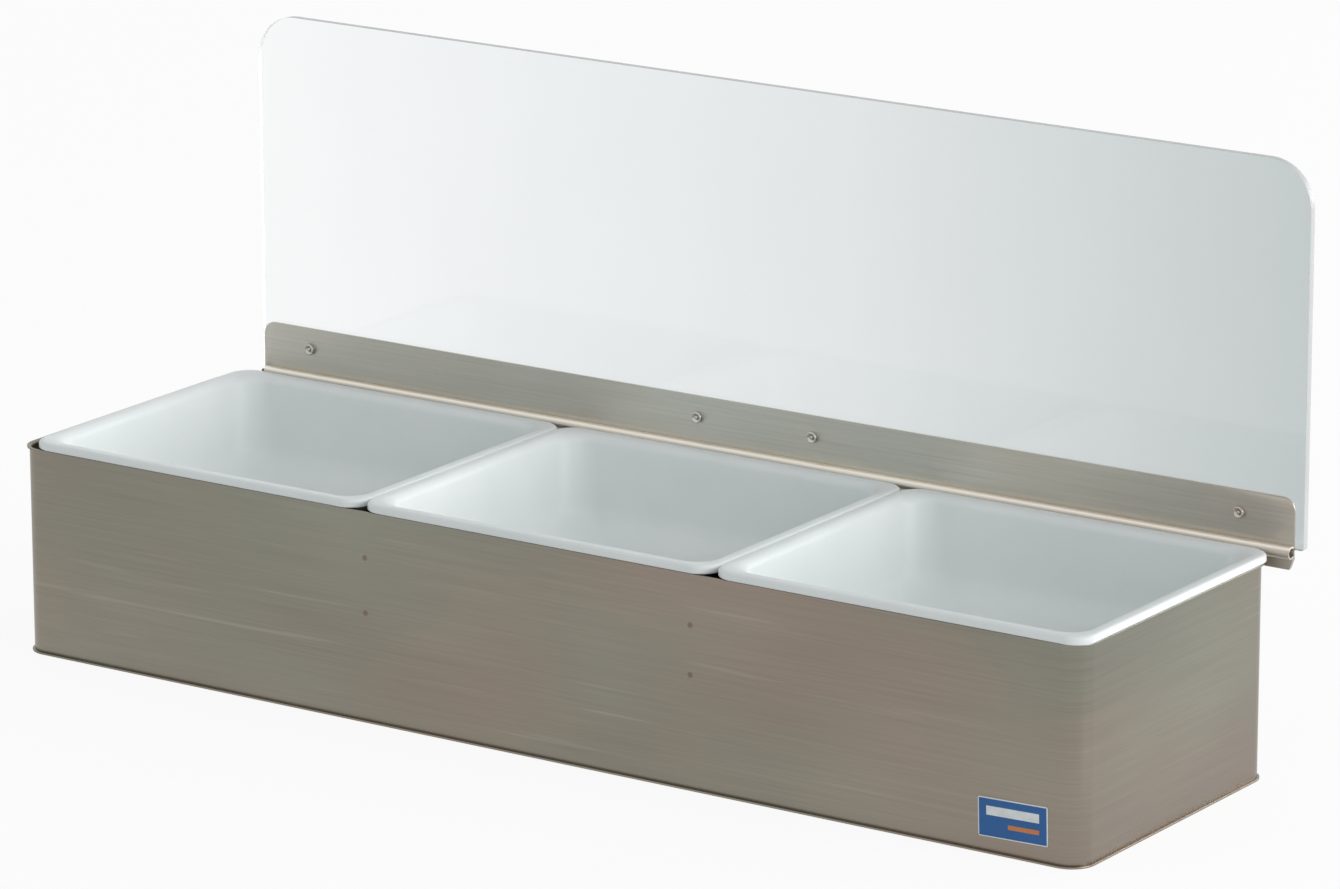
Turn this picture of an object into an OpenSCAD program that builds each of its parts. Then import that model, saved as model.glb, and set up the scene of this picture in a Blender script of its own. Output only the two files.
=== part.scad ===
// Condiment caddy: a brushed steel trough that holds three lift-out plastic
// inserts under one clear lid, which turns on a rod behind the back wall.
// Millimetres. The origin is the middle of the base's underside, +X runs along
// the trough, -Y is the front and +Z is up. The lid is drawn standing open.

/* [Trough] */
// Length of the trough over its walls
box_w = 480; // [360:1:600]
// Depth of the trough over its walls
box_d = 133; // [110:1:180]
// Height of the steel's top edge above the table
box_h = 83; // [70:0.1:120]
// Thickness of the steel sheet
sheet_t = 0.8; // [0.6:0.1:1.2]
// Outside radius of the four upright bends
bend_r = 9; // [4:0.5:15]
// How far the top lip turns out from the wall
lip_out = 1; // [0.8:0.1:2]
// How far the base sheet stands out from the walls
base_out = 0.9; // [0.5:0.1:2]
// Width of the butt seam in the middle of the back wall
seam_gap = 0.3; // [0.2:0.05:0.5]

/* [Dividers] */
// Gap between a divider and the wall of the middle insert
divider_gap = 0.3; // [0.2:0.05:1]
// Width of the bent tabs that are welded to the walls
divider_tab = 7.4; // [5:0.1:10]
// How far the dividers stop below the steel's top edge
divider_drop = 0.8; // [0.5:0.1:5]

/* [Inserts] */
// Width of the trough that the three inserts leave open at the left end
insert_play = 6; // [3:0.1:10]
// Gap from rim to rim
insert_gap = 0.3; // [0.2:0.05:0.5]
// Gap under the rims, down to the steel's lip
seat_gap = 0.1; // [0.05:0.05:0.5]
// How far the rims stand out over the outside of the walls
rim_over = 1.2; // [0:0.1:1.3]
// Height of the rim's skirt
rim_h = 3.2; // [2.6:0.1:8]
// Thickness of the rim's skirt
skirt_t = 1.8; // [1.4:0.1:2.2]
// Radius on the rim's outer top edge
rim_round = 1.3; // [0.8:0.1:1.6]
// Width of the rim's top before it rolls inwards
rim_top_w = 3; // [2.4:0.1:4]
// Radius of the roll from the rim's top into the wall
roll_r = 4; // [3:0.1:6]
// Thickness of the insert's wall and floor
insert_t = 2.2; // [1.6:0.1:2.6]
// How much each wall leans in, from under the rim to the floor
wall_lean = 3; // [1:0.1:8]
// Radius between the walls and the floor, inside
floor_r = 14; // [6:0.5:18]
// Room for ice between the base sheet and the insert's underside
insert_floor_gap = 45; // [2:1:50]
// Corner radius of the rim, seen from above
rim_corner_r = 8.5; // [6:0.5:16]
// Corner radius of the walls inside, halfway down
wall_corner_r = 14; // [8:0.5:20]

/* [Lid] */
// Length of the acrylic panel
lid_w = 478; // [360:1:600]
// How far the closed panel stands out over the front wall
lid_over_front = 8.7; // [0:0.1:20]
// Thickness of the acrylic panel
lid_t = 3; // [2:0.5:5]
// Radius of the panel's two free corners
lid_corner_r = 18; // [5:1:40]
// Radius of the panel's two corners at the hinge
lid_foot_r = 1; // [0.5:0.5:3]
// How far the strip's middle stands to the right of the trough's middle
lid_offset = 9.6; // [0:0.1:12]
// How far the panel's middle stands to the right of the strip's middle
panel_shift = 1.2; // [0:0.1:2]
// Height of the open panel's foot above the hinge axis
lid_foot = 0.7; // [0:0.1:3]
// Gap between the closed lid's strip and the rims under it
lid_clear = 0.6; // [0.3:0.1:2]

/* [Lid strip] */
// How far the strip is shorter than the panel, halved
strip_inset = 2.4; // [2:0.1:10]
// Thickness of the strip's sheet
strip_t = 0.75; // [0.6:0.05:1]
// Height of the strip's leaf above the hinge axis
leaf_h = 20.3; // [16:0.1:30]
// How far the folded hem reaches below the hinge axis
hem_drop = 7; // [5.2:0.1:7.4]
// Radius of the leaf's top corners
leaf_corner_r = 5; // [2:0.1:8]
// Radius of the hem's lower corners
hem_corner_r = 3.4; // [2:0.1:3.8]
// How far the bead is cut back at the left end
bead_cut = 2.4; // [1:0.1:6]

/* [Hinge] */
// Distance of the hinge axis behind the back wall
hinge_back = 4.4; // [4.2:0.1:6]
// Radius of the hinge rod
rod_r = 0.9; // [0.7:0.05:1.1]
// Radial clearance between rod and eye
rod_fit = 0.05; // [0.02:0.01:0.1]
// Radial clearance between eye and bead
eye_fit = 0.08; // [0.03:0.01:0.1]
// Thickness of the brackets' sheet
bracket_t = 0.7; // [0.6:0.05:0.9]
// Length of a bracket's rolled eye
eye_w = 14; // [8:1:24]
// Distance from the trough's end to the middle of the nearest bracket
bracket_end = 50; // [40:1:100]
// Width of the plate that is welded to the back wall
plate_w = 34; // [26:1:60]
// Height of the plate that is welded to the back wall
plate_h = 18; // [12:1:30]
// Gap from a bracket's shelf up to the lip and the hem
shelf_gap = 0.9; // [0.4:0.1:3]
// How far the lid can be pushed to the left along the rod
side_play = 14; // [2:0.1:24]
// Clearance between an eye and its window's edge
window_gap = 0.3; // [0.2:0.05:0.5]
// How far the rod stops inside the bead's right end
rod_recess = 4; // [2:0.5:8]
// Length of the crimped rings that keep the rod in the bead
crimp_w = 2; // [1:0.5:4]

/* [Rivets] */
// Distance of the outer rivets from the strip's ends
rivet_end = 23; // [8:0.1:60]
// Distance of the inner rivets from the strip's middle
rivet_near = 26.5; // [10:0.1:60]
// Height of the rivets above the hinge axis
rivet_up = 11.8; // [10:0.1:13]
// Radius of the rivets' shanks
rivet_r = 1.6; // [1.4:0.05:2]
// Clearance between a shank and its hole
rivet_fit = 0.05; // [0.02:0.01:0.1]
// Radius of the rivets' flat heads
rivet_head_r = 3.2; // [2.6:0.1:4]
// Height of the rivets' heads
rivet_head_h = 1; // [0.8:0.1:1.4]
// Radius of the rivets' swollen tails
rivet_tail_r = 2.3; // [2:0.05:2.6]
// Length of the rivets' swollen tails
rivet_tail_h = 1.6; // [1:0.1:1.8]
// Radius of the mandrels left in the rivets
mandrel_r = 0.8; // [0.6:0.05:0.95]
// Depth and extra radius of the hollow in a rivet's tail
tail_hollow = 0.6; // [0.3:0.05:0.8]

/* [Label] */
// Width of the label plate
label_w = 29; // [15:0.5:60]
// Height of the label plate
label_h = 14.8; // [8:0.1:40]
// Thickness of the label plate
label_t = 0.25; // [0.15:0.05:1]
// Corner radius of the label plate
label_corner_r = 0.6; // [0.3:0.1:3]
// Distance of the label's middle from the right-hand wall
label_from_right = 27.7; // [20:0.5:120]
// Height of the label's middle above the table
label_up = 13.8; // [10:0.1:60]
// How much the label was stuck on askew, in degrees
label_tilt = 1.5; // [-5:0.1:5]

/* [Hidden] */
$fn = 64;

STEEL = [0.62, 0.60, 0.55];
BRIGHT_STEEL = [0.78, 0.77, 0.74];
PLASTIC = [0.93, 0.94, 0.94];
ACRYLIC = [0.86, 0.91, 0.91, 0.35];
BLUE = [0.0, 0.33, 0.6];

past = 1;                                      // how far a cut runs past what it cuts
inner_w = box_w - 2 * sheet_t;
inner_d = box_d - 2 * sheet_t;
back = box_d / 2;                              // outer face of the back wall

// Inserts: three alike in a row that covers the right-hand wall's edge
rim_w = (box_w + rim_over - insert_play - 2 * insert_gap) / 3;
rim_d = box_d + 2 * rim_over;
rim_top = box_h + seat_gap + rim_h;
right_insert_x = box_w / 2 + rim_over - rim_w / 2;
insert_pitch = rim_w + insert_gap;
insert_deep = rim_top - sheet_t - insert_floor_gap;   // rim's top to the underside
middle_insert_x = right_insert_x - insert_pitch;

// Dividers: each stands just outside the middle insert's wall
divider_h = box_h - divider_drop - sheet_t;
divider_off = rim_w / 2 - (rim_top_w + roll_r - insert_t) + divider_gap + sheet_t / 2;

// Hinge: the radii grow from the rod outwards, and the axis is as high as the
// closed strip needs to lie just above the rims
eye_bore = rod_r + rod_fit;
eye_r = eye_bore + bracket_t;
bead_bore = eye_r + eye_fit;
bead_r = bead_bore + strip_t;
axis_y = back + hinge_back;
axis_z = rim_top + lid_clear - bead_bore;
bracket_pitch = box_w / 2 - bracket_end;
shelf_top = min(box_h - sheet_t, axis_z - hem_drop) - shelf_gap;

// Lid: measured from the hinge axis
lid_top = box_d + hinge_back + lid_over_front;
strip_w = lid_w - 2 * strip_inset;
rivet_far = strip_w / 2 - rivet_end;
window_w = eye_w + side_play + 2 * window_gap;
window_shift = side_play / 2 - lid_offset;     // the lid rests with its windows' left edges at the eyes
window_end = 185;                              // the bead stays whole from the leaf to this angle
rod_w = strip_w - rod_recess;

// ---------- outlines ----------

// Rectangle with round corners, centred, from plain squares and circles
module round_rect(w, d, r) {
    square([w, d - 2 * r], center = true);
    square([w - 2 * r, d], center = true);
    for (x = [-1, 1], y = [-1, 1])
        translate([x * (w / 2 - r), y * (d / 2 - r)])
            circle(r = r);
}

// Rectangle from x0 to x1 and from y0 to y1 with its own radius at top and foot
module leaf_outline(x0, x1, y0, y1, top_r, foot_r) {
    translate([x0 + top_r, y0 + foot_r]) square([x1 - x0 - 2 * top_r, y1 - y0 - foot_r]);
    translate([x0, y0 + foot_r]) square([x1 - x0, y1 - y0 - foot_r - top_r]);
    translate([x0 + foot_r, y0]) square([x1 - x0 - 2 * foot_r, foot_r + past]);
    for (x = [x0 + top_r, x1 - top_r])
        translate([x, y1 - top_r]) circle(r = top_r);
    for (x = [x0 + foot_r, x1 - foot_r])
        translate([x, y0 + foot_r]) circle(r = foot_r);
}

// Turns a section drawn as (depth, height) into a bar of width w along X
module along_x(w) {
    rotate([90, 0, 90])
        linear_extrude(height = w, center = true)
            children();
}

// Turns an outline drawn as (length, height) into a plate from y to y + t
module upright(y, t) {
    translate([0, y + t, 0])
        rotate([90, 0, 0])
            linear_extrude(height = t)
                children();
}

// ---------- trough ----------

module wall_ring(h, out) {
    linear_extrude(height = h)
        difference() {
            round_rect(box_w + 2 * out, box_d + 2 * out, bend_r + out);
            round_rect(inner_w, inner_d, bend_r - sheet_t);
        }
}

module wall_band() {
    color(STEEL)
        difference() {
            union() {
                translate([0, 0, sheet_t])
                    wall_ring(box_h - sheet_t, 0);
                translate([0, 0, box_h - sheet_t])
                    wall_ring(sheet_t, lip_out);
            }
            translate([-seam_gap / 2, back - sheet_t - past, 0])
                cube([seam_gap, sheet_t + lip_out + 2 * past, box_h + past]);
        }
}

module base_pan() {
    color(STEEL)
        linear_extrude(height = sheet_t)
            round_rect(box_w + 2 * base_out, box_d + 2 * base_out, bend_r + base_out);
}

// A sheet across the trough whose two ends are bent to the left
module divider(x) {
    color(STEEL)
        translate([x, 0, sheet_t])
            linear_extrude(height = divider_h) {
                translate([-sheet_t / 2, -inner_d / 2])
                    square([sheet_t, inner_d]);
                for (y = [-inner_d / 2, inner_d / 2 - sheet_t])
                    translate([sheet_t / 2 - divider_tab, y])
                        square([divider_tab, sheet_t]);
            }
}

module left_divider() {
    divider(middle_insert_x - divider_off);
}

module right_divider() {
    divider(middle_insert_x + divider_off);
}

// ---------- inserts ----------

// Each level of an insert is [inset from the rim's edge, height below the
// rim's top, corner radius]. They run from the middle of the floor inside, up
// the wall, over the rim, down the skirt and back under to the floor.
arc_steps = 4;
corner_steps = 8;
lean_z = floor_r - insert_deep + insert_t;     // where the floor's radius meets the wall
lean_in = rim_top_w + roll_r + wall_lean;      // inset of the wall at the floor's radius

function arc(cx, cz, r, a0, a1, corner) =
    [for (i = [0 : arc_steps])
        let (a = a0 + (a1 - a0) * i / arc_steps)
        [cx + r * cos(a), cz + r * sin(a), corner]];

inside_levels = concat(
    arc(lean_in + floor_r, lean_z, floor_r, 270, 180, wall_corner_r),
    [for (a = arc(rim_top_w, -roll_r, roll_r, 0, 90, 0))
        let (share = (a[0] - rim_top_w) / (lean_in - rim_top_w))
        [a[0], a[1], rim_corner_r + (wall_corner_r - rim_corner_r) * share]],
    arc(rim_round, -rim_round, rim_round, 90, 180, rim_corner_r),
    [[0, -rim_h, rim_corner_r]]);

outside_levels = concat(
    [[skirt_t, -rim_h, rim_corner_r - skirt_t],
     [skirt_t, -insert_t, rim_corner_r - skirt_t]],
    [for (a = arc(rim_top_w, -roll_r, roll_r - insert_t, 90, 0, 0)) [a[0], a[1], rim_corner_r]],
    arc(lean_in + floor_r, lean_z, floor_r + insert_t, 180, 270, wall_corner_r + insert_t));

insert_levels = concat(inside_levels, outside_levels);

// The points of one level, going round anticlockwise
function level_points(l) =
    let (hx = rim_w / 2 - l[0], hy = rim_d / 2 - l[0], r = l[2])
    [for (q = [0 : 3], i = [0 : corner_steps])
        let (sx = (q == 0 || q == 3) ? 1 : -1,
             sy = (q < 2) ? 1 : -1,
             a = 90 * q + 90 * i / corner_steps)
        [sx * (hx - r) + r * cos(a), sy * (hy - r) + r * sin(a), l[1]]];

module insert(x) {
    n = 4 * (corner_steps + 1);
    last = len(insert_levels) - 1;
    points = [for (l = insert_levels) each level_points(l)];
    sides = [for (k = [0 : last - 1], i = [0 : n - 1])
        let (j = (i + 1) % n)
        each [[k * n + i, k * n + j, (k + 1) * n + i], [k * n + j, (k + 1) * n + j, (k + 1) * n + i]]];
    floor_top = [for (i = [1 : n - 2]) [0, i + 1, i]];
    floor_under = [for (i = [1 : n - 2]) [last * n, last * n + i, last * n + i + 1]];
    color(PLASTIC)
        translate([x, 0, rim_top])
            polyhedron(points = points, faces = concat(sides, floor_top, floor_under));
}

module left_insert() {
    insert(middle_insert_x - insert_pitch);
}

module middle_insert() {
    insert(middle_insert_x);
}

module right_insert() {
    insert(right_insert_x);
}

// ---------- hinge ----------

// Section of a bracket, measured from the hinge axis: a plate on the back
// wall, a shelf under the lip, a neck up behind the rod, and the rolled eye
module bracket_neck() {
    shelf_z = shelf_top - bracket_t - axis_z;
    neck_y = eye_bore;
    difference() {
        union() {
            circle(r = eye_r);
            translate([neck_y, shelf_z])
                square([bracket_t, -shelf_z]);
        }
        circle(r = eye_bore);
    }
    translate([-hinge_back, shelf_z])
        square([hinge_back + neck_y + bracket_t, bracket_t]);
}

module hinge_bracket(x) {
    color(STEEL)
        translate([x, axis_y, axis_z]) {
            along_x(eye_w)
                bracket_neck();
            translate([-plate_w / 2, -hinge_back, shelf_top - plate_h - axis_z])
                cube([plate_w, bracket_t, plate_h]);
        }
}

module left_hinge_bracket() {
    hinge_bracket(-bracket_pitch);
}

module middle_hinge_bracket() {
    hinge_bracket(0);
}

module right_hinge_bracket() {
    hinge_bracket(bracket_pitch);
}

module hinge_rod() {
    color(BRIGHT_STEEL)
        translate([lid_offset - strip_w / 2, axis_y, axis_z])
            rotate([0, 90, 0])
                cylinder(r = rod_r, h = rod_w);
}

// ---------- lid ----------

// Section of the strip, measured from the hinge axis: the leaf stands behind
// the rod, is folded up again at its foot and rolls over the rod as a bead
module strip_section() {
    difference() {
        union() {
            circle(r = bead_r);
            translate([bead_bore - strip_t, strip_t - hem_drop])
                square([2 * strip_t, hem_drop - strip_t]);
            translate([bead_bore, strip_t - hem_drop])
                circle(r = strip_t);
        }
        circle(r = bead_bore);
    }
    translate([bead_bore, strip_t - hem_drop])
        square([strip_t, leaf_h + hem_drop - strip_t]);
}

// What a window takes out of the section: the bead's front and underside and
// the hem's front fold, so that a bracket's neck can reach the rod
module window_section() {
    reach = 2 * hem_drop;
    polygon([[0, 0], [reach * cos(window_end), reach * sin(window_end)],
             [-reach, -reach], [bead_bore, -reach], [bead_bore, 0]]);
}

module lid_strip() {
    crimps = [-strip_w / 2 + bead_cut, strip_w / 2 - rod_recess - crimp_w];
    color(STEEL)
        translate([lid_offset, axis_y, axis_z]) {
            difference() {
                intersection() {
                    along_x(strip_w)
                        strip_section();
                    upright(-bead_r - past, 2 * (bead_r + past))
                        leaf_outline(-strip_w / 2, strip_w / 2, -hem_drop, leaf_h,
                                     leaf_corner_r, hem_corner_r);
                }
                for (x = [-bracket_pitch, 0, bracket_pitch])
                    translate([x + window_shift, 0, 0])
                        along_x(window_w)
                            window_section();
                translate([-strip_w / 2 - past, -bead_r - past, -hem_drop - past])
                    cube([bead_cut + past, bead_r + past + bead_bore, hem_drop + bead_r + 2 * past]);
                rivet_holes();
            }
            for (x = crimps)
                translate([x, 0, 0])
                    rotate([0, 90, 0])
                        difference() {
                            cylinder(r = bead_bore + strip_t / 2, h = crimp_w);
                            translate([0, 0, -past])
                                cylinder(r = rod_r + rod_fit, h = crimp_w + 2 * past);
                        }
        }
}

module lid_panel() {
    color(ACRYLIC)
        translate([lid_offset, axis_y, axis_z])
            difference() {
                upright(bead_r, lid_t)
                    leaf_outline(panel_shift - lid_w / 2, panel_shift + lid_w / 2,
                                 lid_foot, lid_top, lid_corner_r, lid_foot_r);
                rivet_holes();
            }
}

// Places children at each rivet, with +Z pointing out of the lid's back
module at_rivets() {
    for (x = [-rivet_far, -rivet_near, rivet_near, rivet_far])
        translate([x, 0, rivet_up])
            rotate([-90, 0, 0])
                children();
}

module rivet_holes() {
    at_rivets()
        translate([0, 0, -past])
            cylinder(r = rivet_r + rivet_fit, h = bead_r + lid_t + 2 * past);
}

// A blind rivet: domed head behind the panel, shank, and a tail that was
// swollen against the strip, with the hole its mandrel was pulled through
module lid_rivets() {
    tail = bead_bore - rivet_tail_h;
    head = bead_r + lid_t;
    dome_r = (rivet_head_r * rivet_head_r + rivet_head_h * rivet_head_h) / (2 * rivet_head_h);
    color(BRIGHT_STEEL)
        translate([lid_offset, axis_y, axis_z])
            at_rivets()
                difference() {
                    union() {
                        translate([0, 0, tail])
                            cylinder(r = rivet_tail_r, h = rivet_tail_h);
                        translate([0, 0, tail])
                            cylinder(r = rivet_r, h = head - tail + rivet_head_h / 2);
                        intersection() {
                            translate([0, 0, head])
                                cylinder(r = rivet_head_r, h = rivet_head_h);
                            translate([0, 0, head + rivet_head_h - dome_r])
                                sphere(r = dome_r);
                        }
                    }
                    translate([0, 0, tail - past])
                        cylinder(r = mandrel_r + rivet_fit, h = head - tail + rivet_head_h + 2 * past);
                    translate([0, 0, tail - past])
                        cylinder(r = mandrel_r + tail_hollow, h = tail_hollow + past);
                }
}

module rivet_mandrels() {
    tail = bead_bore - rivet_tail_h;
    color(BRIGHT_STEEL)
        translate([lid_offset, axis_y, axis_z])
            at_rivets()
                translate([0, 0, tail])
                    cylinder(r = mandrel_r, h = rivet_tail_h + strip_t + lid_t + rivet_head_h / 2);
}

// ---------- label ----------

module label() {
    color(BLUE)
        translate([box_w / 2 - label_from_right, 0, label_up])
            rotate([0, -label_tilt, 0])
                upright(-back - label_t, label_t)
                    round_rect(label_w, label_h, label_corner_r);
}

wall_band();
base_pan();
left_divider();
right_divider();
left_insert();
middle_insert();
right_insert();
left_hinge_bracket();
middle_hinge_bracket();
right_hinge_bracket();
hinge_rod();
lid_strip();
lid_panel();
lid_rivets();
rivet_mandrels();
label();
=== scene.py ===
# %% [markdown]
# # A steel condiment caddy with one clear lid
#
# The real thing is a trough of brushed stainless sheet, about 48 cm long. Three
# white plastic inserts hang in it by their rims, and one clear acrylic lid turns
# on a rod along the back. The solids that carry and move all this are loaded
# first and stay where they are. Every piece that is made below stands in the
# place of one of them, at the same size, with the softer edges, folds and finish
# that a sheet metal shop and a moulding shop leave behind.

# %% Load the fixed frame
import math

import bmesh
import bpy
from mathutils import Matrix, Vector


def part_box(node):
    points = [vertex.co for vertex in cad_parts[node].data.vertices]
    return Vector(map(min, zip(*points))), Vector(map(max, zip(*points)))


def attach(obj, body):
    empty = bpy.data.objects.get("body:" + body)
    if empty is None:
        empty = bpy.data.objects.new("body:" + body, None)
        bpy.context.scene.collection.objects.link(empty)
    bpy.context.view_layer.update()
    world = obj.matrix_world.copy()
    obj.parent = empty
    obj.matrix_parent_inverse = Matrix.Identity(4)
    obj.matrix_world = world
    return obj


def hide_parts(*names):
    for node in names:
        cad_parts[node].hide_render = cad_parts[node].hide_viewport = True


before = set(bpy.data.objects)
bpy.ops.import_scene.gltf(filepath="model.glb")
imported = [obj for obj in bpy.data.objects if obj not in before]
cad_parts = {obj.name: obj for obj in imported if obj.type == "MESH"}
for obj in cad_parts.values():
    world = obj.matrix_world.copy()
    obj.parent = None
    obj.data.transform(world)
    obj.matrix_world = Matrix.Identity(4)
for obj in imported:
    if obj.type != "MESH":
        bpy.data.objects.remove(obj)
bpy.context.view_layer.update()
MM = 0.001

# %% [markdown]
# # The camera
#
# The photograph was taken from the right of the front and a little above the
# rims, with a long lens. A pinhole camera fitted to the straight edges and the
# round corners of the trough and lid gave its place and its focal length. It
# leans by a tenth of a degree only, but over 48 cm of straight edges that is
# already half a millimetre. Depth of field stays off, so all of it is sharp.

# %% Set up the camera
CAMERA_AT = Vector((1.4420, -2.0834, 0.7985))
CAMERA_AIM = Vector((0.0197, 0.0, 0.1080))
CAMERA_LEAN = math.radians(-0.11)
SENSOR_WIDTH = 36.0
LENS = 187.8

camera_data = bpy.data.cameras.new("product_camera")
camera_data.sensor_width = SENSOR_WIDTH
camera_data.lens = LENS
camera_data.clip_start = 0.05
camera_data.dof.use_dof = False
camera = bpy.data.objects.new("product_camera", camera_data)
bpy.context.scene.collection.objects.link(camera)
look = (CAMERA_AIM - CAMERA_AT).to_track_quat("-Z", "Y").to_euler()
look.rotate_axis("Z", CAMERA_LEAN)
camera.location = CAMERA_AT
camera.rotation_euler = look
bpy.context.scene.camera = camera
print("camera is", round((CAMERA_AT - CAMERA_AIM).length, 3), "m away")

# %% [markdown]
# # Helpers for node trees
#
# Every material below is a small tree of nodes. The same few kinds of node come
# back in all of them, so each kind is made and linked by a short function that
# gives back the socket that the next one needs.


# %% Helpers for node trees
def new_group(name, ins, outs):
    """An empty shader node group with the sockets named, and its two ends."""
    group = bpy.data.node_groups.new(name, "ShaderNodeTree")
    for label, kind, value in ins:
        socket = group.interface.new_socket(name=label, in_out="INPUT", socket_type=kind)
        if value is not None:
            socket.default_value = value
    for label, kind in outs:
        group.interface.new_socket(name=label, in_out="OUTPUT", socket_type=kind)
    return group, group.nodes.new("NodeGroupInput"), group.nodes.new("NodeGroupOutput")


def add_node(tree, kind, **settings):
    """A node with some of its settings made."""
    made = tree.nodes.new(kind)
    for key, value in settings.items():
        setattr(made, key, value)
    return made


def ramp(tree, value, stops):
    """A colour ramp behind value, with stops of (position, grey or colour)."""
    made = add_node(tree, "ShaderNodeValToRGB")
    points = made.color_ramp.elements
    while len(points) < len(stops):
        points.new(0.5)
    for point, (at, colour) in zip(points, stops):
        point.position = at
        point.color = (*colour, 1.0) if isinstance(colour, tuple) else (colour,) * 3 + (1.0,)
    tree.links.new(value, made.inputs["Fac"])
    return made.outputs["Color"]


def math_node(tree, operation, first, second):
    """A math node; each side is a socket or a plain number."""
    made = add_node(tree, "ShaderNodeMath", operation=operation)
    for socket, side in zip(made.inputs, (first, second)):
        if isinstance(side, (int, float)):
            socket.default_value = side
        else:
            tree.links.new(side, socket)
    return made.outputs[0]


def mix_colour(tree, fac, first, second, blend="MIX"):
    """Two colours mixed; each of the three is a socket or a value."""
    made = add_node(tree, "ShaderNodeMix", data_type="RGBA", blend_type=blend)
    for socket, side in ((made.inputs[0], fac), (made.inputs[6], first), (made.inputs[7], second)):
        if hasattr(side, "links"):
            tree.links.new(side, socket)
        elif isinstance(side, tuple):
            socket.default_value = (*side, 1.0)
        else:
            socket.default_value = side
    return made.outputs[2]


def map_range(tree, value, given, wanted=(0.0, 1.0), curve="LINEAR"):
    """A value carried over from one pair of limits to another."""
    made = add_node(tree, "ShaderNodeMapRange", interpolation_type=curve)
    made.inputs["From Min"].default_value, made.inputs["From Max"].default_value = given
    made.inputs["To Min"].default_value, made.inputs["To Max"].default_value = wanted
    tree.links.new(value, made.inputs["Value"])
    return made.outputs["Result"]


def mapping(tree, vector, scale, location=(0.0, 0.0, 0.0)):
    """A vector that is scaled and then moved."""
    made = add_node(tree, "ShaderNodeMapping")
    made.inputs["Scale"].default_value = scale
    made.inputs["Location"].default_value = location
    tree.links.new(vector, made.inputs["Vector"])
    return made.outputs[0]


def noise(tree, vector, scale, detail=2.0, roughness=0.5):
    """Cloudy noise over a vector; the scale is a socket or a number."""
    made = add_node(tree, "ShaderNodeTexNoise")
    made.inputs["Detail"].default_value = detail
    made.inputs["Roughness"].default_value = roughness
    tree.links.new(vector, made.inputs["Vector"])
    if isinstance(scale, (int, float)):
        made.inputs["Scale"].default_value = scale
    else:
        tree.links.new(scale, made.inputs["Scale"])
    return made.outputs["Fac"]


def bumps(tree, height, strength, distance, below=None):
    """The normal of a bumpy surface, on top of the bumps below if there are any."""
    made = add_node(tree, "ShaderNodeBump")
    made.inputs["Strength"].default_value = strength
    made.inputs["Distance"].default_value = distance
    tree.links.new(height, made.inputs["Height"])
    if below is not None:
        tree.links.new(below, made.inputs["Normal"])
    return made.outputs["Normal"]


def new_material(name):
    """A material, its node tree and its Principled shader."""
    made = bpy.data.materials.new(name)
    made.use_nodes = True
    return made, made.node_tree, made.node_tree.nodes["Principled BSDF"]


def seen_directly(tree):
    """1 for rays from the camera and for those that gloss or clear plastic sends on."""
    path = add_node(tree, "ShaderNodeLightPath")
    sharp = math_node(tree, "MAXIMUM", path.outputs["Is Camera Ray"], path.outputs["Is Glossy Ray"])
    return math_node(tree, "MAXIMUM", sharp, path.outputs["Is Transmission Ray"])


def mix_shaders(tree, share, first, second, end):
    """Feeds a mix of two shaders to the output node called end."""
    mix = add_node(tree, "ShaderNodeMixShader")
    for side, socket in zip((share, first, second), mix.inputs):
        tree.links.new(side, socket)
    tree.links.new(mix.outputs[0], end.inputs["Surface"])


print("node helpers ready")

# %% [markdown]
# # The studio
#
# The object stands on a plain pale sweep in soft light. Rays that come from the
# camera, and those that a shiny surface or clear plastic sends on, see a white
# world. The light that falls on matt surfaces is a little weaker than that,
# because two soft lamps on the right add the rest. They give the inserts a
# light side, which faces right, and a shaded one, as in the photograph.

# %% Light the world
WORLD_FILL = 0.62
WHITE = (1.0, 1.0, 1.0, 1.0)
FILL_COLOUR = (0.97, 1.0, 1.0, 1.0)

world = bpy.data.worlds.new("white_studio")
world.use_nodes = True
bpy.context.scene.world = world
tree = world.node_tree
tree.nodes.clear()
output = add_node(tree, "ShaderNodeOutputWorld")
shown = add_node(tree, "ShaderNodeBackground")
fill = add_node(tree, "ShaderNodeBackground")
shown.inputs["Color"].default_value = WHITE
fill.inputs["Color"].default_value = FILL_COLOUR
fill.inputs["Strength"].default_value = WORLD_FILL
mix_shaders(tree, seen_directly(tree), fill.outputs[0], shown.outputs[0], output)
bpy.context.scene.view_settings.view_transform = "Standard"
print("world fill", WORLD_FILL)


# %% Hang the lamps
def add_lamp(name, at, aim, size, power):
    """A square soft lamp that faces the point aim."""
    data = bpy.data.lights.new(name, "AREA")
    data.shape = "SQUARE"
    data.size = size
    data.energy = power
    lamp = bpy.data.objects.new(name, data)
    bpy.context.scene.collection.objects.link(lamp)
    lamp.location = at
    lamp.rotation_euler = (Vector(aim) - Vector(at)).to_track_quat("-Z", "Y").to_euler()


add_lamp("right_lamp", at=(3.6, 0.3, 1.05), aim=(0, 0, 0.05), size=1.8, power=58)
add_lamp("right_back_lamp", at=(1.5, 2.3, 0.35), aim=(0.24, 0, 0.05), size=1.2, power=32)
print("lamps hung")

# %% Lay the floor
FLOOR_SIDE = 14.0
FLOOR_GREY = 0.93
FLOOR_GLOW_SHARE = 0.9

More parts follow.
